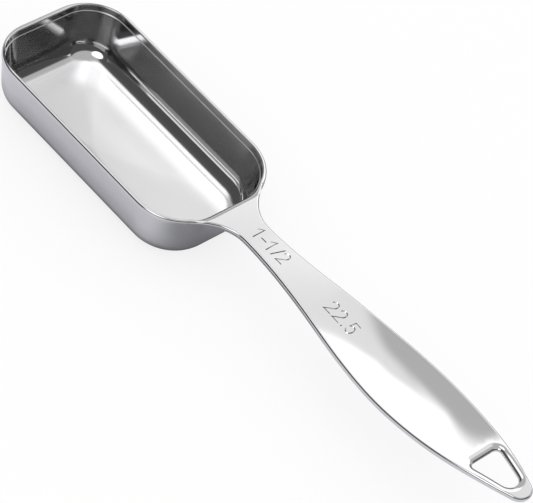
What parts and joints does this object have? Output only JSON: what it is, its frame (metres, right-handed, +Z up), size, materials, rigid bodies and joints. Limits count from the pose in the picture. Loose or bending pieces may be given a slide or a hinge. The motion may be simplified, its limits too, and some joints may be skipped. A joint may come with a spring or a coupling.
{
  "type": "measuring spoon",
  "caption": "Polished steel measuring spoon with a deep rounded rectangular cup and a flat dished handle with a hanging hole.",
  "frame": {"origin": "centre of the cup's flat underside, on which the spoon stands", "axes": "+X from the cup along the handle to its tip, +Z up out of the cup, +Y to the left seen from the cup towards the tip"},
  "size_m": [0.1572, 0.0338, 0.017],
  "materials": {
    "bowl_steel": "polished",
    "handle_steel": "polished",
    "weld_steel": "satin"
  },
  "bodies": {
    "root": {"bowl": "bowl_steel", "handle": "handle_steel", "weld_bead": "weld_steel"}
  },
  "joints": []
}
